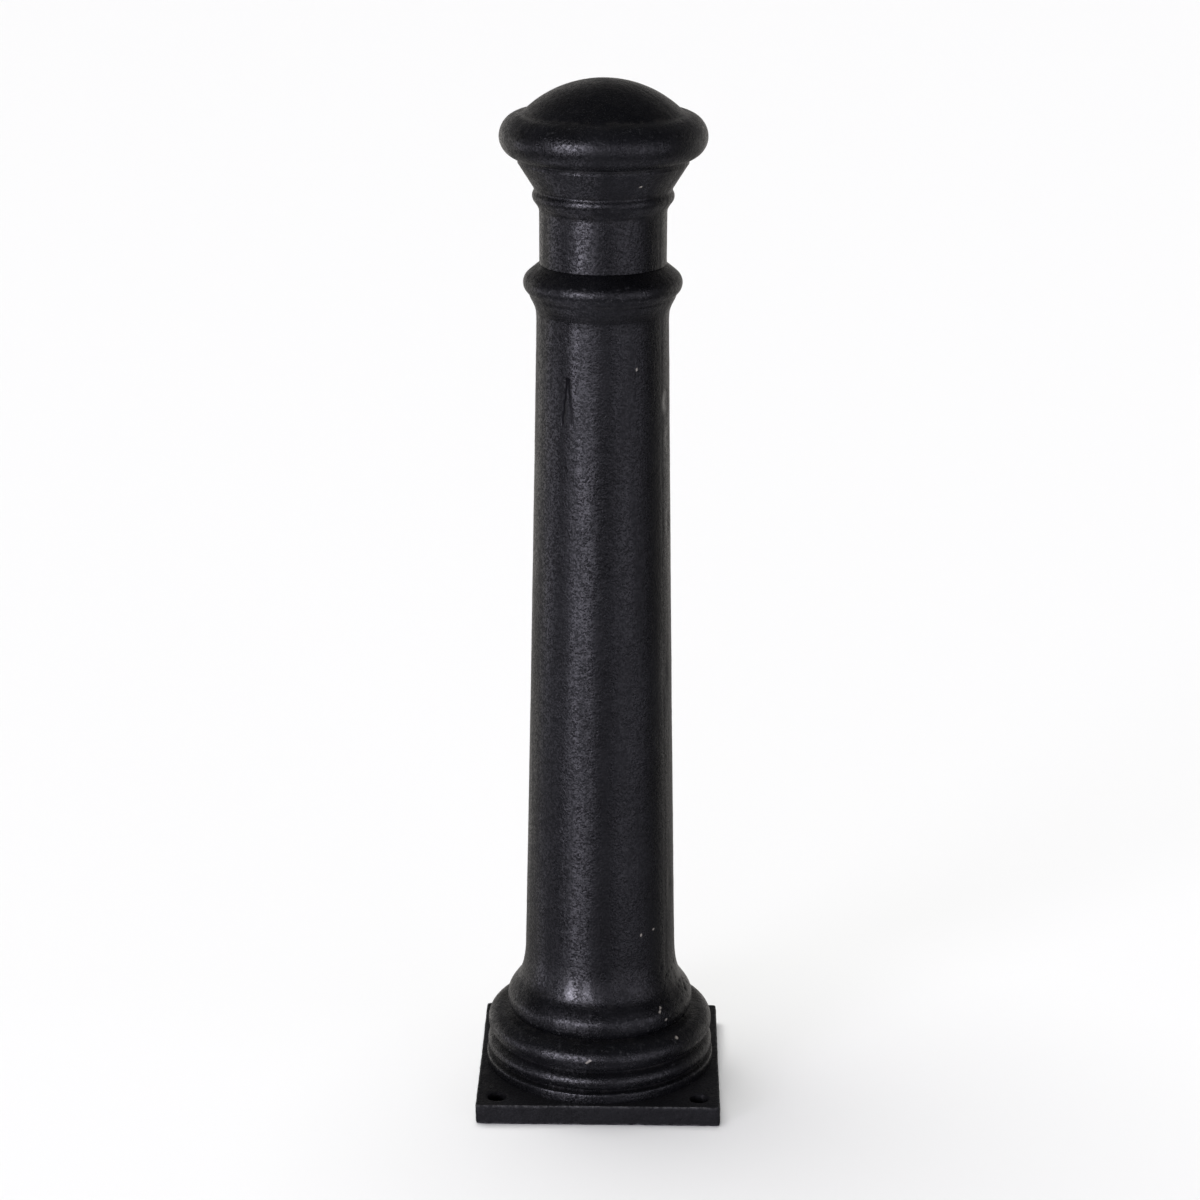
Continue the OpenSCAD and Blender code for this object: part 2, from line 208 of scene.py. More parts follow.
def castGrainGroup():  # sand grain of a casting under paint, with scattered pits
    tree, given, out = newGroup("cast grain", {"Coarse": 0.5, "Pits": 0.4}, ["Height", "Pit", "Speckle"])
    fine = cloud(tree, 500, 2.0, 0.65)
    peel = cloud(tree, 180, 1.0)
    lumps = cloud(tree, 70, 1.0)
    hole = fade(tree, cells(tree, 190.0)["Distance"], 0.12, 0.34, 1.0, 0.0)
    fewer = calc(tree, "SUBTRACT", 0.75, calc(tree, "MULTIPLY", given["Pits"], 0.4))
    pit = calc(tree, "MULTIPLY", hole, fade(tree, cloud(tree, 16, 2.0), fewer, 0.8))
    coarse = calc(tree, "ADD", calc(tree, "MULTIPLY", peel, 0.8), calc(tree, "MULTIPLY", lumps, 0.9))
    height = calc(tree, "ADD", fine, calc(tree, "MULTIPLY", coarse, given["Coarse"]))
    tree.links.new(calc(tree, "SUBTRACT", height, calc(tree, "MULTIPLY", pit, 1.2)), out["Height"])
    tree.links.new(pit, out["Pit"])
    grit = add(tree, "SeparateColor", {0: cells(tree, 560.0)["Color"]}).outputs[0]
    speckle = calc(tree, "MULTIPLY", grit, 0.45)
    speckle = calc(tree, "ADD", cloud(tree, 820, 1.0), speckle)
    tree.links.new(fade(tree, speckle, 0.6, 0.95), out["Speckle"])
    return tree


def streakGroup():  # long upright streaks and broad clouds in the sheen
    tree, given, out = newGroup("sheen streaks", {"Width": 70.0}, ["Streak", "Cloud"])
    place = stretched(tree, (1, 1, 0.07))
    values = {"Vector": place, "Scale": given["Width"], "Detail": 3.0, "Roughness": 0.6}
    streak = add(tree, "TexNoise", values)
    tree.links.new(fade(tree, streak.outputs["Fac"], 0.35, 0.68), out["Streak"])
    tree.links.new(fade(tree, cloud(tree, 14, 4.0, 0.6), 0.36, 0.66), out["Cloud"])
    return tree


def sandBandGroup():  # the side where the sand grain shows, with a wandering edge
    tree, given, out = newGroup("sand band", {"Edge": -94.0, "Smooth": 0.4}, ["Band"])
    x, y, z = add(tree, "SeparateXYZ", {0: add(tree, "TexCoord").outputs["Object"]}).outputs
    around = calc(tree, "DEGREES", calc(tree, "ARCTAN2", y, x))
    wander = calc(tree, "MULTIPLY", calc(tree, "SUBTRACT", cloud(tree, 24, 4.0, 0.6, (1, 1, 0.4)), 0.5), 34.0)
    across = calc(tree, "SUBTRACT", calc(tree, "ADD", around, wander), given["Edge"])
    band = fade(tree, across, -3.0, 3.0, 1.0, 0.0)
    rest = calc(tree, "SUBTRACT", 1.0, given["Smooth"])
    tree.links.new(calc(tree, "ADD", given["Smooth"], calc(tree, "MULTIPLY", band, rest)), out["Band"])
    return tree


def speckGroup():  # a few pale flecks
    tree, given, out = newGroup("pale flecks", {"Spacing": 45.0, "Share": 0.12}, ["Fleck"])
    spots = cells(tree, given["Spacing"])
    draw = add(tree, "SeparateColor", {0: spots["Color"]}).outputs[0]
    spot = fade(tree, spots["Distance"], 0.03, 0.07, 1.0, 0.0)
    tree.links.new(calc(tree, "MULTIPLY", spot, calc(tree, "LESS_THAN", draw, given["Share"])), out["Fleck"])
    return tree


def dustGroup():  # dust that settles on upward faces and in the creases
    tree, given, out = newGroup("settled dust", {"Ledge": 0.5, "Crease": 0.6}, ["Dust"])
    upward = add(tree, "SeparateXYZ", {0: add(tree, "NewGeometry").outputs["Normal"]}).outputs[2]
    ledge = calc(tree, "MULTIPLY", fade(tree, upward, 0.45, 1.0), given["Ledge"])
    crease = calc(tree, "MULTIPLY", attribute(tree, "crease"), given["Crease"])
    broken = fade(tree, cloud(tree, 90, 4.0, 0.7), 0.42, 0.66)
    tree.links.new(calc(tree, "MULTIPLY", calc(tree, "ADD", ledge, crease), broken), out["Dust"])
    return tree


def edgeWearGroup():  # rubbed crests, broken up by noise
    tree, given, out = newGroup("rubbed edges", {"Amount": 0.5}, ["Wear"])
    start = calc(tree, "SUBTRACT", 0.72, calc(tree, "MULTIPLY", given["Amount"], 0.4))
    broken = fade(tree, cloud(tree, 260, 4.0, 0.7), start, 0.74)
    tree.links.new(calc(tree, "MULTIPLY", attribute(tree, "crest"), broken), out["Wear"])
    return tree


def paintRunGroup():  # a run of paint that forks in two, in radians and millimetres
    values = {"Angle": -2.09, "Radius": 62.0, "Foot": 655.0, "Top": 704.0, "Spread": 5.0, "Width": 2.7}
    tree, given, out = newGroup("paint run", values, ["Run"])
    x, y, z = add(tree, "SeparateXYZ", {0: add(tree, "TexCoord").outputs["Object"]}).outputs
    height = calc(tree, "MULTIPLY", z, 1000.0)
    across = calc(tree, "SUBTRACT", calc(tree, "ARCTAN2", y, x), given["Angle"])
    wobble = calc(tree, "SUBTRACT", cloud(tree, 120, 2.0, 0.5, (0.3, 0.3, 1)), 0.5)
    across = calc(tree, "MULTIPLY", across, given["Radius"])
    across = calc(tree, "ADD", across, calc(tree, "MULTIPLY", wobble, 3.0))
    fork = fade(tree, height, given["Top"], given["Foot"], 0.2, 1.0)
    spread = calc(tree, "MULTIPLY", given["Spread"], fork)
    apart = calc(tree, "ABSOLUTE", calc(tree, "SUBTRACT", calc(tree, "ABSOLUTE", across), spread))
    line = fade(tree, apart, calc(tree, "MULTIPLY", given["Width"], 0.4), given["Width"], 1.0, 0.0)
    foot = fade(tree, height, given["Foot"], calc(tree, "ADD", given["Foot"], 8.0))
    top = fade(tree, height, calc(tree, "SUBTRACT", given["Top"], 3.0), given["Top"], 1.0, 0.0)
    tree.links.new(calc(tree, "MULTIPLY", line, calc(tree, "MULTIPLY", foot, top)), out["Run"])
    return tree


castGrain = castGrainGroup()
paintRun = paintRunGroup()
sheenStreaks = streakGroup()
sandBand = sandBandGroup()
paleFlecks = speckGroup()
settledDust = dustGroup()
rubbedEdges = edgeWearGroup()


def useGroup(tree, group, **values):
    made = tree.nodes.new("ShaderNodeGroup")
    made.node_tree = group
    for name, value in values.items():
        made.inputs[name].default_value = value
    return made.outputs


def newFinish(name):
    finish = bpy.data.materials.new(name)
    finish.use_nodes = True
    return finish, finish.node_tree, finish.node_tree.nodes["Principled BSDF"].inputs


def paintedIron(name, s):
    finish, tree, shader = newFinish(name)
    grain = useGroup(tree, castGrain, Coarse=s["coarse"], Pits=s["pits"])
    sheen = useGroup(tree, sheenStreaks, Width=s["streakWidth"])
    spots = useGroup(tree, paleFlecks, Spacing=s["fleckSpacing"], Share=s["fleckShare"])
    dust = useGroup(tree, settledDust, Ledge=s["ledgeDust"], Crease=s["creaseDust"])["Dust"]
    wear = useGroup(tree, rubbedEdges, Amount=s["wear"])["Wear"]
    run = useGroup(tree, paintRun)["Run"]
    band = useGroup(tree, sandBand, Smooth=s["smoothSide"])["Band"]
    fleck = calc(tree, "MAXIMUM", spots["Fleck"], fade(tree, attribute(tree, "fleck"), 0.15, 0.6))
    pit = calc(tree, "MAXIMUM", grain["Pit"], fade(tree, attribute(tree, "pit"), 0.1, 0.5))
    rub = fade(tree, attribute(tree, "rub"), 0.1, 0.6)
    colour = tinted(tree, sheen["Cloud"], s["paint"], s["paintPale"])
    colour = tinted(tree, pit, colour, s["pitColour"])
    colour = tinted(tree, dust, colour, s["dustColour"])
    colour = tinted(tree, wear, colour, s["wearColour"])
    colour = tinted(tree, fleck, colour, s["fleckColour"])
    tree.links.new(tinted(tree, run, colour, s["runColour"]), shader["Base Color"])
    gloss = calc(tree, "ADD", s["roughness"], calc(tree, "MULTIPLY", sheen["Streak"], s["streakRough"]))
    gloss = calc(tree, "ADD", gloss, calc(tree, "MULTIPLY", sheen["Cloud"], s["cloudRough"]))
    gloss = calc(tree, "ADD", gloss, calc(tree, "MULTIPLY", dust, s["dustRough"]))
    gloss = calc(tree, "SUBTRACT", gloss, calc(tree, "MULTIPLY", run, s["runGloss"]))
    tree.links.new(gloss, shader["Roughness"])
    # the top coat shines in specks, least along the dull streaks and on the smooth side
    dull = calc(tree, "SUBTRACT", s["speckShine"], calc(tree, "MULTIPLY", sheen["Streak"], s["streakDull"]))
    shine = calc(tree, "MULTIPLY", calc(tree, "MULTIPLY", grain["Speckle"], dull), band)
    shine = calc(tree, "ADD", shine, calc(tree, "MULTIPLY", rub, s["rubShine"]))
    shine = calc(tree, "MULTIPLY", shine, calc(tree, "SUBTRACT", 1.0, calc(tree, "MAXIMUM", run, dust)))
    tree.links.new(calc(tree, "MULTIPLY", shine, s["coat"]), shader["Coat Weight"])
    shader["Coat Roughness"].default_value = s["coatRough"]
    bare = calc(tree, "SUBTRACT", 1.0, calc(tree, "MULTIPLY", run, s["runFill"]))
    height = calc(tree, "MULTIPLY", grain["Height"], bare)
    bump = add(tree, "Bump", {"Strength": 1.0, "Distance": s["grainDepth"] * mm, "Height": height})
    tree.links.new(bump.outputs[0], shader["Normal"])
    shader["Specular IOR Level"].default_value = s["specular"]
    return finish


postPaint = {
    "paint": (0.0032, 0.0033, 0.0038, 1),
    "paintPale": (0.0055, 0.0057, 0.0066, 1),
    "pitColour": (0.003, 0.003, 0.003, 1),
    "dustColour": (0.06, 0.055, 0.05, 1),
    "wearColour": (0.05, 0.05, 0.052, 1),
    "fleckColour": (0.27, 0.25, 0.22, 1),
    "runColour": (0.004, 0.004, 0.005, 1),
    "roughness": 0.19,
    "streakRough": 0.12,
    "cloudRough": 0.06,
    "specular": 0.24,
    "coat": 0.95,
    "coatRough": 0.3,
    "speckShine": 1.4,
    "streakDull": 0.8,
    "rubShine": 0.9,
    "dustRough": 0.3,
    "runGloss": 0.1,
    "runFill": 0.85,       # how far a run of paint fills the grain
    "smoothSide": 0.4,     # share of the specks left on the smooth side
    "coarse": 0.6,
    "pits": 0.4,
    "grainDepth": 0.66,    # mm
    "streakWidth": 70.0,
    "fleckSpacing": 45.0,
    "fleckShare": 0.05,
    "ledgeDust": 0.03,
    "creaseDust": 0.1,
    "wear": 0.4,
}
platePaint = dict(
    postPaint,
    paint=(0.005, 0.005, 0.0055, 1),
    paintPale=(0.0085, 0.0085, 0.0095, 1),
    specular=0.2,
    coat=0.4,
    wearColour=(0.11, 0.11, 0.11, 1),
    roughness=0.5,
    coarse=1.2,
    pits=0.8,
    grainDepth=1.0,
    ledgeDust=0.0,
    creaseDust=0.5,
    wear=0.9,
)


def bareSteel(name, s):
    finish, tree, shader = newFinish(name)
    grain = useGroup(tree, castGrain, Coarse=s["coarse"], Pits=s["pits"])
    sheen = useGroup(tree, sheenStreaks, Width=s["streakWidth"])
    colour = tinted(tree, sheen["Cloud"], s["metal"], s["metalDull"])
    tree.links.new(tinted(tree, grain["Pit"], colour, s["spotColour"]), shader["Base Color"])
    gloss = calc(tree, "ADD", s["roughness"], calc(tree, "MULTIPLY", sheen["Streak"], s["streakRough"]))
    gloss = calc(tree, "ADD", gloss, calc(tree, "MULTIPLY", grain["Pit"], s["pitRough"]))
    tree.links.new(gloss, shader["Roughness"])
    bump = add(tree, "Bump", {"Strength": 1.0, "Distance": s["grainDepth"] * mm, "Height": grain["Height"]})
    tree.links.new(bump.outputs[0], shader["Normal"])
    shader["Metallic"].default_value = 1.0
    return finish


millSteel = {
    "metal": (0.3, 0.31, 0.33, 1),
    "metalDull": (0.17, 0.17, 0.18, 1),
    "spotColour": (0.16, 0.07, 0.035, 1),
    "roughness": 0.4,
    "streakRough": 0.15,
    "pitRough": 0.3,
    "coarse": 0.4,
    "pits": 0.5,
    "grainDepth": 0.06,
    "streakWidth": 160.0,
}
zincPlate = {
    "metal": (0.62, 0.62, 0.58, 1),
    "metalDull": (0.5, 0.49, 0.42, 1),
    "spotColour": (0.34, 0.33, 0.3, 1),
    "roughness": 0.3,
    "streakRough": 0.15,
    "pitRough": 0.3,
    "coarse": 0.4,
    "pits": 0.3,
    "grainDepth": 0.02,
    "streakWidth": 240.0,
}
finishes = {
    "painted_iron": paintedIron("painted iron", postPaint),
    "painted_plate": paintedIron("painted plate", platePaint),
    "core_steel": bareSteel("mill finish steel", millSteel),
    "zinc_steel": bareSteel("zinc plated steel", zincPlate),
}


def finishPiece(bm, name, node, slot, smoothAngle=40):
    mesh = bpy.data.meshes.new(name)
    bm.to_mesh(mesh)
    bm.free()
    mesh.polygons.foreach_set("use_smooth", [True] * len(mesh.polygons))
    mesh.set_sharp_from_angle(angle=math.radians(smoothAngle))
    mesh.materials.append(finishes[slot])
    piece = bpy.data.objects.new(name, mesh)
    bpy.context.scene.collection.objects.link(piece)
    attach(piece, "root")
    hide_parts(node)
    print(name, len(mesh.polygons), "faces")
    return piece


def floorPiece(s):
    bm = bmesh.new()
    bmesh.ops.create_grid(bm, x_segments=1, y_segments=1, size=s["floorSize"] / 2)
    mesh = bpy.data.meshes.new("floor")
    bm.to_mesh(mesh)
    bm.free()
    finish, tree, shader = newFinish("pale floor")
    shader["Base Color"].default_value = (*s["floorColour"], 1)
    shader["Roughness"].default_value = s["floorRough"]
    shader["Specular IOR Level"].default_value = s["floorSheen"]
    mesh.materials.append(finish)
    floor = bpy.data.objects.new("floor", mesh)
    bpy.context.scene.collection.objects.link(floor)
    floor.visible_glossy = False  # the soft boxes alone shape the paint's sheen
    floor.visible_shadow = False


floorPiece(studioSet)


def arcRun(cr, cz, rad, fromDeg, toDeg, count, rise=None):  # an arc, or part of an ellipse if rise is given
    steps = [math.radians(fromDeg + (toDeg - fromDeg) * i / count) for i in range(count + 1)]
    return [(cr + rad * math.cos(a), cz + (rise or rad) * math.sin(a)) for a in steps]


def span(node):  # foot, top and outer radius of a CAD node, in millimetres
    low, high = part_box(node)
    return low.z / mm, high.z / mm, high.x / mm


def chain(bm, points):
    verts = [bm.verts.new((r * mm, 0, z * mm)) for r, z in points]
    for pair in zip(verts, verts[1:]):
        bm.edges.new(pair)
    return verts


def eased(bm, path, passes):  # softens a chain between its two ends
    axes = {"use_axis_x": True, "use_axis_y": True, "use_axis_z": True}
    for i in range(passes):
        bmesh.ops.smooth_vert(bm, verts=path[1:-1], factor=0.5, **axes)
    return [v.co.copy() for v in path]


def walk(vert):  # the vertices of an open chain in order
    path, came = [vert], None
    while True:
        ahead = [e for e in path[-1].link_edges if e is not came]
        if not ahead:
            return path
        came = ahead[0]
        path.append(came.other_vert(path[-1]))


def turned(outer, inner, s):  # outer runs up the outside, inner runs back down the inside
    bm = bmesh.new()
    skin = bm.verts.layers.float.new("skin")
    crest = bm.verts.layers.float.new("crest")
    crease = bm.verts.layers.float.new("crease")
    lean = bm.verts.layers.float.new("lean")
    for name in ("fleck", "rub", "pit"):
        bm.verts.layers.float.new(name)
    chain(bm, outer)
    gap = s["gap"] * mm
    for count in range(1, int(max(e.calc_length() for e in bm.edges) / gap) + 1):
        long = [e for e in bm.edges if int(e.calc_length() / gap) == count]
        if long:  # cut evenly, down to the gap
            bmesh.ops.subdivide_edges(bm, edges=long, cuts=count)
    first = Vector((outer[0][0], 0, outer[0][1])) * mm
    start = min(bm.verts, key=lambda v: (v.co - first).length)
    path = walk(start)
    line = eased(bm, path, s["ease"])  # paint fills the creases and rounds the edges
    smooth = eased(bm, path, s["feel"])
    for i, v in enumerate(path):
        along = line[min(i + 1, len(path) - 1)] - line[max(i - 1, 0)]
        outward = Vector((along.z, 0, -along.x)).normalized()
        stands = (line[i] - smooth[i]).dot(outward) / mm / s["stand"]
        v[skin] = 1
        v[lean] = math.atan2(outward.z, outward.x)
        v[crest] = min(1, max(0, stands))
        v[crease] = min(1, max(0, -stands))
        v.co = line[i]
    inside = chain(bm, inner)
    if inner[0][0]:  # a cap's outline ends on the axis instead
        bm.edges.new((path[-1], inside[0]))
    bm.edges.new((inside[-1], start))
    bmesh.ops.spin(bm, geom=bm.verts[:] + bm.edges[:], cent=(0, 0, 0), axis=(0, 0, 1), dvec=(0, 0, 0),
                   angle=math.tau, steps=s["steps"], use_merge=True)
    bmesh.ops.remove_doubles(bm, verts=bm.verts, dist=0.005 * mm)
    bmesh.ops.recalc_face_normals(bm, faces=bm.faces)
    return bm


marks = [  # degrees from +X, height, half width, half height, depth (mm), what it is
    (-59, 711, 2, 2, 0, "fleck"), (-56, 169, 2, 2.5, 0, "fleck"), (-44, 171, 2, 2, 0, "fleck"),
    (-48, 93, 2.5, 2, 0, "fleck"), (-44, 84, 2.5, 2, 0, "fleck"), (-46, 96, 2, 2, 0, "fleck"),
    (-94, 62, 2.5, 2, 0, "fleck"), (-96, 60, 2, 2, 0, "fleck"), (-44, 70, 2.5, 2, 0, "fleck"),
    (-29, 57, 2, 2, 0, "fleck"), (-12, 922, 2, 2, 0, "fleck"), (-61, 876, 2, 1.5, 0, "fleck"),
    (-112, 116, 6, 15, 0, "rub"), (-99, 119, 5, 12, 0, "rub"),
    (-20, 674, 9, 15, 1.4, "rub"), (-14, 640, 11, 14, 1.3, ""), (-16, 560, 7, 18, 0.9, ""),
    (-24, 420, 6, 20, 0.6, ""), (-20, 205, 7, 22, 0.7, ""),
]
blowHoles = {             # low on one side; middle and spread of angle and height
    "count": 34,
    "angle": (-20, 13),
    "height": (104, 13),
    "size": (1.3, 2.3),
    "depth": 1.1,
}
chance = random.Random(5)
for i in range(blowHoles["count"]):
    size = chance.uniform(*blowHoles["size"])
    place = chance.gauss(*blowHoles["angle"]), chance.gauss(*blowHoles["height"])
    marks.append((*place, size, size, blowHoles["depth"], "pit"))


def markDepth(v, around, here, kinds):  # notes the marks at one point and gives their depth
    depth = 0
    for angle, z, wide, tall, deep, kind in here:
        up = (v.co.z / mm - z) / tall
        if abs(up) < 1:
            across = math.remainder(around - math.radians(angle), math.tau) * v.co.xy.length / mm / wide
            near = max(0, 1 - math.hypot(across, up))
            depth += deep * near
            if kind:
                v[kinds[kind]] = max(v[kinds[kind]], near)
    return depth


def castRelief(bm, s):  # unevenness of the sand mould and later marks, all of it inwards
    skin = bm.verts.layers.float["skin"]
    lean = bm.verts.layers.float["lean"]
    kinds = {name: bm.verts.layers.float[name] for name in ("fleck", "rub", "pit")}
    heights = [v.co.z / mm for v in bm.verts if v[skin]]
    near = 3              # mm above or below this piece
    here = [mark for mark in marks if min(heights) - near < mark[1] < max(heights) + near]
    seam = math.radians(s["seamAngle"])
    for v in bm.verts:
        if not v[skin]:
            continue
        p = v.co / mm
        around = math.atan2(v.co.y, v.co.x)
        depth = 0
        for deep, length, shift in s["relief"]:
            depth += deep * (1 + noise.noise(p / length + Vector(shift)))
        across = abs(math.sin(around - seam)) * v.co.xy.length / mm
        uneven = 0.6 + 0.6 * noise.noise(p / s["seamLength"])
        depth += s["seamDepth"] * max(0, 1 - across / s["seamWidth"]) * uneven
        depth += markDepth(v, around, here, kinds)
        flat = math.cos(v[lean])
        v.co -= Vector((flat * math.cos(around), flat * math.sin(around), math.sin(v[lean]))) * depth * mm


castSet = {
    "steps": 256,
    "gap": 1.3,
    "ease": 5,
    "feel": 14,           # passes of smoothing that show what stands out
    "stand": 0.25,        # mm proud for a full crest
    "relief": (           # depth, length, and a shift of the noise
        (0.12, 42.0, (0, 0, 0)),
        (0.07, 13.0, (7, 3, 1)),
        (0.05, 4.5, (1, 9, 4)),
    ),
    "seamAngle": -28.0,   # the mould's parting line, from +X
    "seamWidth": 2.6,
    "seamDepth": 0.35,
    "seamLength": 17.0,   # of its uneven stretches
}

print("base casting")
baseSet = dict(
    castSet,
    ringHeight=9.5,
    ringRound=1.5,
    lowerRoll=9.5,
    lowerRollIn=10.5,     # from the ring's edge to the roll's section centre
    upperRoll=13.5,
    upperRollIn=4.7,
    rollLap=1.5,
    throat=86.0,
    deck=15.0,
    socket=70.25,
    cavity=86.0,
)


def makeBase(s):
    foot, top, ring = span("base_casting")
    ringTop = foot + s["ringHeight"]
    lowR = ring - s["lowerRollIn"]
    lowZ = ringTop + s["lowerRoll"]
    upR = lowR - s["upperRollIn"]
    upZ = lowZ + s["lowerRoll"] + s["upperRoll"] - s["rollLap"]
    edge = s["ringRound"]
    outer = [(ring, foot)] + arcRun(ring - edge, ringTop - edge, edge, 0, 90, 4)
    outer += arcRun(lowR, lowZ, s["lowerRoll"], -65, 68, 20) + arcRun(upR, upZ, s["upperRoll"], -62, 90, 24)
    outer += [(s["throat"], upZ + s["upperRoll"]), (s["throat"], top)]
    under = top - s["deck"]
    inner = [(s["socket"], top), (s["socket"], under), (s["cavity"], under), (s["cavity"], foot)]
    bm = turned(outer, inner, s)
    castRelief(bm, s)
    return finishPiece(bm, "baseCasting", "base_casting", "painted_iron")


makeBase(baseSet)

print("shaft casting")
shaftSet = dict(
    castSet,
    gap=2.0,
    bandBevel=2.4,
    bandHeight=14.7,
    flareHeight=53.0,
    flareReach=12.0,
    flareRise=42.0,
    flareTurn=72.0,       # degrees
    flareEase=5.0,        # degrees left open where the two arcs meet
    taperSteps=100,
    lowRadius=71.2,
    topRadius=60.0,
    bow=0.45,
    wall=10.5,
    spigot=8.0,
    footSpigot=70.0,
    spigotIn=10.0,        # from the shaft's top edge to the spigot
)


def jointFillet(away, thick=0.45, reach=6):  # paint and filler round off the joint of shaft and collar
    return thick * max(0, 1 - away / reach) ** 2


def shaftOutline(s, foot, top, band):
    taperFoot = foot + s["bandHeight"] + s["flareHeight"]
    bandTop = foot + s["bandHeight"]
    turn = math.radians(s["flareTurn"])
    midR = s["lowRadius"] + s["flareReach"] * (1 - math.cos(turn))
    midZ = taperFoot - s["flareRise"] * math.sin(turn)
    lean = math.atan(s["flareReach"] * math.sin(turn) / (s["flareRise"] * math.cos(turn)))
    chordLean = math.atan((band - midR) / (midZ - bandTop))
    rad = math.hypot(band - midR, midZ - bandTop) / (2 * math.sin(lean - chordLean))
    centre = (midR - rad * math.cos(lean), midZ - rad * math.sin(lean))
    outer = [(band - s["bandBevel"], foot), (band, foot + s["bandBevel"])]
    outer += arcRun(*centre, rad, math.degrees(2 * chordLean - lean), math.degrees(lean), 10)
    outer += arcRun(s["lowRadius"] + s["flareReach"], taperFoot, s["flareReach"],
                    180 + s["flareTurn"] - s["flareEase"], 180, 12, rise=s["flareRise"])
    for i in range(1, s["taperSteps"] + 1):
        t = i / s["taperSteps"]
        z = taperFoot + (top - taperFoot) * t
        r = s["lowRadius"] + (s["topRadius"] - s["lowRadius"]) * t - 4 * s["bow"] * t * (1 - t)
        outer.append((r + jointFillet(top - z), z))
    return outer, taperFoot


def makeShaft(s):
    foot = span("base_casting")[1]
    top = span("collar_ring")[0]
    spigotFoot, spigotTop, band = span("shaft_casting")
    outer, taperFoot = shaftOutline(s, foot, top, band)
    bore, boreTop = s["lowRadius"] - s["wall"], s["topRadius"] - s["wall"]
    spigot = s["topRadius"] - s["spigotIn"]
    spigotBore = spigot - s["spigot"]
    inner = [(spigot, top), (spigot, spigotTop), (spigotBore, spigotTop), (spigotBore, top - s["wall"])]
    inner += [(boreTop, top - 2 * s["wall"]), (bore, taperFoot), (bore, spigotFoot)]
    inner += [(s["footSpigot"], spigotFoot), (s["footSpigot"], foot)]
    bm = turned(outer, inner, s)
    castRelief(bm, s)
    return finishPiece(bm, "shaftCasting", "shaft_casting", "painted_iron")


makeShaft(shaftSet)

print("collar ring")
collarSet = dict(
    castSet,
    coveHeight=14.0,
    coveOut=6.3,
    coveBow=0.6,
    roll=11.6,
    rollHeight=26.6,
    neck=57.5,
    bore=50.25,
)


def makeCollar(s):
    foot, top, widest = span("collar_ring")
    rollR = widest - s["roll"]
    base = rollR - 0.5
    outer = []
    for i in range(13):
        t = i / 12
        r = base + s["coveOut"] * t - 4 * s["coveBow"] * t * (1 - t)
        outer.append((r + jointFillet(s["coveHeight"] * t), foot + s["coveHeight"] * t))
    low = -math.degrees(math.acos((base + s["coveOut"] - rollR) / s["roll"]))
    outer += arcRun(rollR, foot + s["rollHeight"], s["roll"], low, 55, 24) + [(s["neck"], top)]
    bm = turned(outer, [(s["bore"], top), (s["bore"], foot)], s)
    castRelief(bm, s)
    return finishPiece(bm, "collarRing", "collar_ring", "painted_iron")


makeCollar(collarSet)

print("neck casting")
neckSet = dict(
    castSet,
    radius=57.5,
    height=49.5,
    bead=8.1,
    beadRise=11.5,
    beadOut=6.35,
    beadTurn=44.0,
    quirk=0.8,
    bore=46.0,
    socket=50.25,
    spigotGap=0.3,
    capSocket=60.25,
    capSocketDepth=10.0,
)


def makeNeck(s):
    foot, top, bell = span("neck_casting")
    socketTop = span("shaft_casting")[1] + s["spigotGap"]
    beadR = s["radius"] + s["beadOut"] - s["bead"]
    beadZ = foot + s["height"] + s["beadRise"]
    bead = arcRun(beadR, beadZ, s["bead"], -50, s["beadTurn"], 18)
    edgeR, edgeZ = bead[-1]
    outer = [(s["radius"], foot), (s["radius"], foot + s["height"])] + bead
    quirkR, seat = edgeR + s["quirk"], top - s["capSocketDepth"]
    outer += [(quirkR, edgeZ + s["quirk"]), (quirkR, edgeZ + 2 * s["quirk"]), (bell, top)]
    inner = [(s["capSocket"], top), (s["capSocket"], seat), (s["bore"], seat)]
    inner += [(s["bore"], socketTop), (s["socket"], socketTop), (s["socket"], foot)]
    bm = turned(outer, inner, s)
    castRelief(bm, s)
    return finishPiece(bm, "neckCasting", "neck_casting", "painted_iron")


makeNeck(neckSet)

print("cap casting")
capSet = dict(
    castSet,
    roll=21.2,
    rollDrop=19.8,
    rollIn=4.6,           # from the bell's edge to the roll's section centre
    step=4.0,
    dome=102.4,
    wall=12.0,
    spigot=60.0,
    mouth=46.0,
    boss=18.0,
    bossLift=8.0,
    tap=8.0,
    tapRunout=14.0,
)


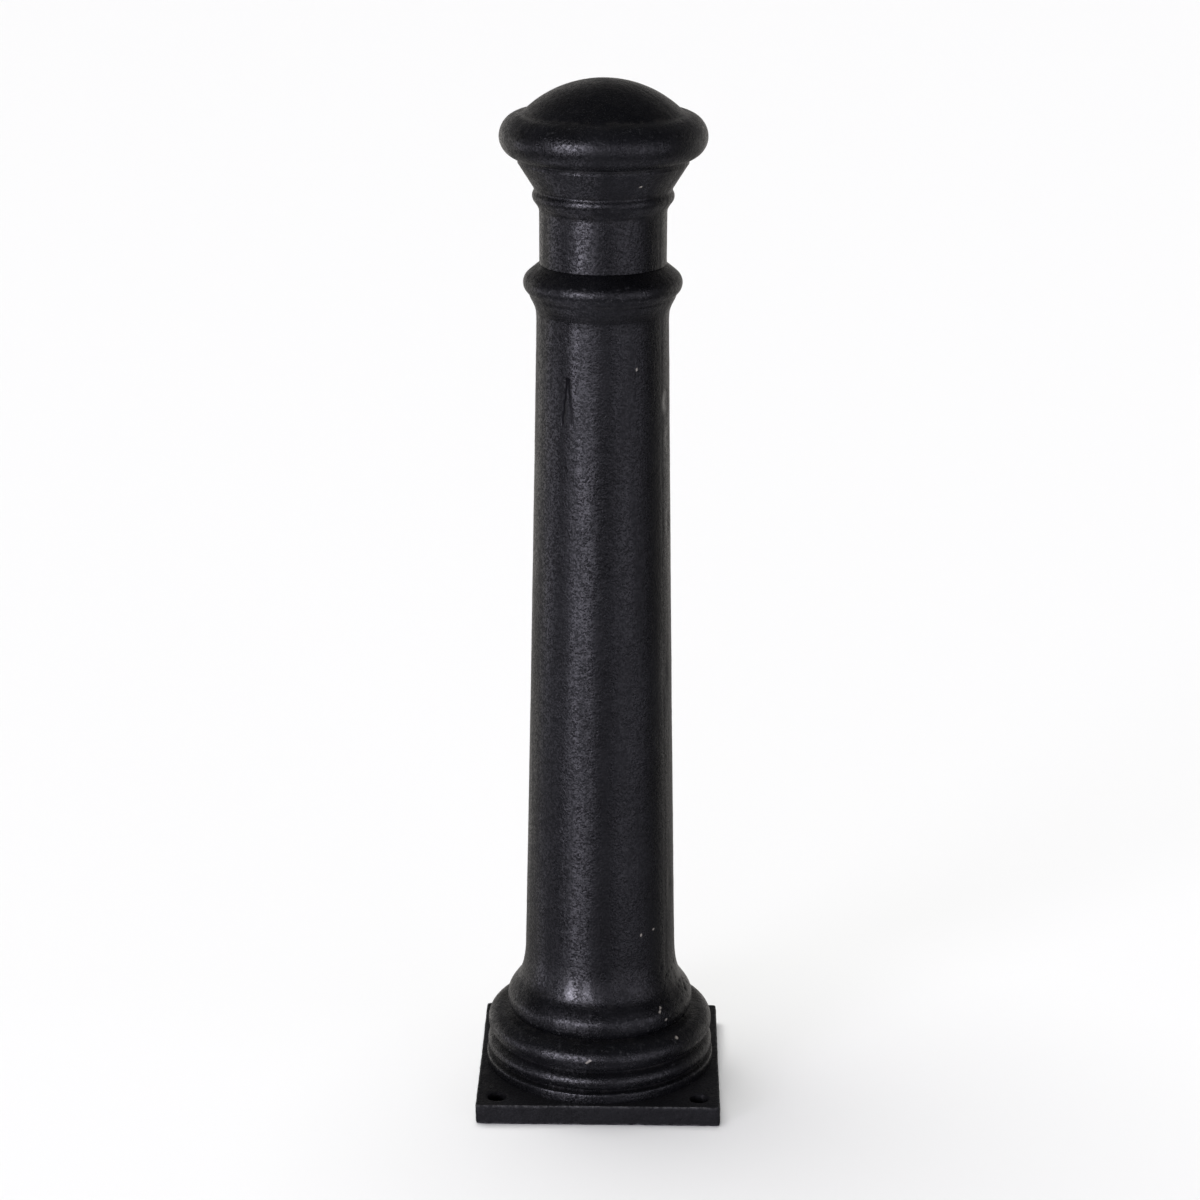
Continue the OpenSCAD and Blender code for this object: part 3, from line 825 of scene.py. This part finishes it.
def makeCap(s):
    spigotEnd, apex, widest = span("cap_casting")
    foot, bell = span("neck_casting")[1:]
    rollR = bell - s["rollIn"]
    low = -math.degrees(math.acos(s["rollIn"] / s["roll"]))
    rollZ = foot + s["step"] - s["rollDrop"] * math.sin(math.radians(low))
    domeFoot = math.degrees(math.acos(rollR / s["dome"]))
    domeZ = rollZ + s["roll"] - s["dome"] * math.sin(math.radians(domeFoot))
    outer = [(bell, foot)] + arcRun(rollR, rollZ, s["roll"], low, 0, 20, rise=s["rollDrop"])
    outer += arcRun(rollR, rollZ, s["roll"], 4, 90, 20) + arcRun(0, domeZ, s["dome"], domeFoot + 0.6, 90, 40)
    outer[-1] = (0, apex)
    core = s["roll"] - s["wall"]
    bore = s["dome"] - s["wall"]
    tapEnd = span("cap_stud")[1] + s["tapRunout"]
    bossTop = math.degrees(math.acos(s["boss"] / bore))
    wide = math.degrees(math.acos((rollR - core / 2) / bore)) + 1
    bossFoot = foot + s["bossLift"]
    inner = [(0, tapEnd), (s["tap"], tapEnd), (s["tap"], bossFoot), (s["boss"], bossFoot)]
    inner += arcRun(0, domeZ, bore, bossTop, wide, 10) + arcRun(rollR, rollZ, core, 120, -60, 12)
    inner += [(s["mouth"], foot + s["wall"] / 2), (s["mouth"], spigotEnd)]
    inner += [(s["spigot"], spigotEnd), (s["spigot"], foot)]
    bm = turned(outer, inner, s)
    castRelief(bm, s)
    return finishPiece(bm, "capCasting", "cap_casting", "painted_iron")


makeCap(capSet)

print("foot plate")
plateSet = {
    "cells": 96,
    "corner": 4.0,
    "anchorRadius": 9.0,
    "anchorBevel": 0.9,
    "anchorIn": 20.0,     # from the plate's edges
    "screwCircle": 94.0,
    "screwHole": 4.5,
    "screwHead": 8.3,
    "seat": 38.3,
    "seatDepth": 3.0,
    "drain": 15.0,
    "holeSteps": 48,
    "sideCuts": 8,
    "faceReach": 0.3,     # mm from a face's own plane that still count as that face
    "lump": 0.7,          # rough sides: depth, then lengths along X, Y and Z
    "lumpLength": (9.0, 9.0, 4.0),
    "grit": 0.28,
    "gritLength": 2.6,
    "rimWear": 0.9,
    "rimWide": 1.5,
    "rimLength": 7.0,
    "crestWide": 2.2,
    "wave": 0.12,         # hollows in the top and bottom faces
    "waveLength": 30.0,
    "lip": 0.5,
    "lipWide": 2.6,
    "chipFall": (-0.6, 0.3),  # for chips in the top rim and in the bottom rim
    "chips": (            # x, y, z, size, depth
        (106.0, -115.0, 19.0, 8.0, 1.6),
        (-60.0, -115.0, 19.0, 6.0, 0.8),
        (-112.0, -115.0, 3.0, 7.0, 1.4),
        (38.0, -115.0, 0.0, 7.0, 1.3),
    ),
}


def plateGrid(bm, half, z, cells, holes):  # one face of the plate, with cells left out round each hole
    made = bmesh.ops.create_grid(bm, x_segments=cells, y_segments=cells, size=half)["verts"]
    for v in made:
        v.co.z = z
    faces = {f for v in made for f in v.link_faces}
    gap = 2 * half / cells
    for x, y, rings in holes:
        reach = max(r for r, h in rings) * mm + 0.9 * gap
        cut = [f for f in faces if (f.calc_center_median().xy - Vector((x, y)) * mm).length < reach]
        faces -= set(cut)
        bmesh.ops.delete(bm, geom=cut, context="FACES")
    return [e for e in bm.edges if e.is_boundary and abs(e.verts[0].co.z - z) < 1e-6]


def nearHole(edges, x, y, reach):
    return [e for e in edges if ((e.verts[0].co + e.verts[1].co).xy / 2 - Vector((x, y)) * mm).length < reach]


def makePlate(s):
    low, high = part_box("foot_plate")
    half = high.x
    thick = (high.z - low.z) / mm
    at = half / mm - s["anchorIn"]
    bolt, bevel = s["anchorRadius"], s["anchorBevel"]
    rings = [(bolt + bevel, thick), (bolt, thick - bevel), (bolt, 0)]
    holes = [(x, y, rings) for x in (-at, at) for y in (-at, at)]
    head = s["screwHead"] - s["screwHole"]
    rings = [(s["screwHole"], thick), (s["screwHole"], head), (s["screwHead"], 0)]
    holes += [(s["screwCircle"] * math.cos(a), s["screwCircle"] * math.sin(a), rings)
              for a in (0, math.pi / 2, math.pi, 3 * math.pi / 2)]
    seatFloor = thick - s["seatDepth"]
    rings = [(s["seat"], thick), (s["seat"], seatFloor), (s["drain"], seatFloor), (s["drain"], 0)]
    holes.append((0, 0, rings))
    bm = bmesh.new()
    for name in ("skin", "crest", "crease"):
        bm.verts.layers.float.new(name)
    topEdges = plateGrid(bm, half, high.z, s["cells"], holes)
    bottomEdges = plateGrid(bm, half, low.z, s["cells"], holes)
    for x, y, rings in holes:
        reach = max(r for r, h in rings) * mm + 3 * 2 * half / s["cells"]
        last = nearHole(topEdges, x, y, reach)
        for r, h in rings:
            place = Matrix.Translation((x * mm, y * mm, h * mm))
            ring = bmesh.ops.create_circle(bm, segments=s["holeSteps"], radius=r * mm, matrix=place)["verts"]
            loop = list({e for v in ring for e in v.link_edges})
            bmesh.ops.bridge_loops(bm, edges=last + loop)
            last = loop
        bmesh.ops.bridge_loops(bm, edges=last + nearHole(bottomEdges, x, y, reach))
    rim = [e for e in bm.edges if e.is_boundary]
    sides = bmesh.ops.bridge_loops(bm, edges=rim)["faces"]
    upright = list({e for f in sides for e in f.edges if abs(e.verts[0].co.z - e.verts[1].co.z) > 1e-4})
    bmesh.ops.subdivide_edges(bm, edges=upright, cuts=s["sideCuts"], use_grid_fill=True)
    bmesh.ops.recalc_face_normals(bm, faces=bm.faces)
    roughPlate(bm, s, half, low.z, high.z)
    return finishPiece(bm, "footPlate", "foot_plate", "painted_plate", 50)


def roughPlate(bm, s, half, low, high):  # round corners, worn rims, rough cast sides and chips
    crest = bm.verts.layers.float["crest"]
    flat = half - s["corner"] * mm
    middle = (low + high) / 2
    for v in bm.verts:
        q = Vector((max(0, abs(v.co.x) - flat), max(0, abs(v.co.y) - flat)))
        if q.x and q.y:
            q *= max(q.x, q.y) / q.length
            v.co.x = math.copysign(flat + q.x, v.co.x)
            v.co.y = math.copysign(flat + q.y, v.co.y)
    bm.normal_update()
    for v in bm.verts:
        p = v.co / mm
        inset = (half - max(abs(v.co.x), abs(v.co.y))) / mm
        rim = min(high - v.co.z, v.co.z - low) / mm
        inward = Vector((-v.co.x, -v.co.y, 0)).normalized()
        if inset < s["faceReach"]:  # side faces
            lump = Vector([along / length for along, length in zip(p, s["lumpLength"])])
            push = s["lump"] * (0.5 + 0.5 * noise.noise(lump))
            push += s["grit"] * (0.5 + 0.5 * noise.noise(p / s["gritLength"]))
            worn = 0.7 + 0.5 * noise.noise(p / s["rimLength"])
            push += s["rimWear"] * max(0, 1 - rim / s["rimWide"]) * worn
            v.co += inward * push * mm
            v[crest] = max(0, 1 - rim / s["crestWide"])
        elif rim < s["faceReach"]:  # top and bottom faces
            v[crest] = max(0, 1 - inset / s["crestWide"])
            drop = s["wave"] * (1 + noise.noise(p / s["waveLength"]))
            drop += s["lip"] * max(0, 1 - inset / s["lipWide"])
            v.co.z -= math.copysign(drop * mm, v.co.z - middle)
        for x, y, z, size, depth in s["chips"]:
            near = (p - Vector((x, y, z))).length / size
            if near < 1:
                fall = s["chipFall"][0 if z * mm > middle else 1]
                v.co += (inward + Vector((0, 0, fall))) * depth * (1 - near) * mm


makePlate(plateSet)

print("steel pieces")
for entry in frame["record"]["subparts"]:
    if entry["material_slot"] in ("core_steel", "zinc_steel"):
        piece = frame["nodes"][entry["node"]]
        piece.data.materials.clear()
        piece.data.materials.append(finishes[entry["material_slot"]])
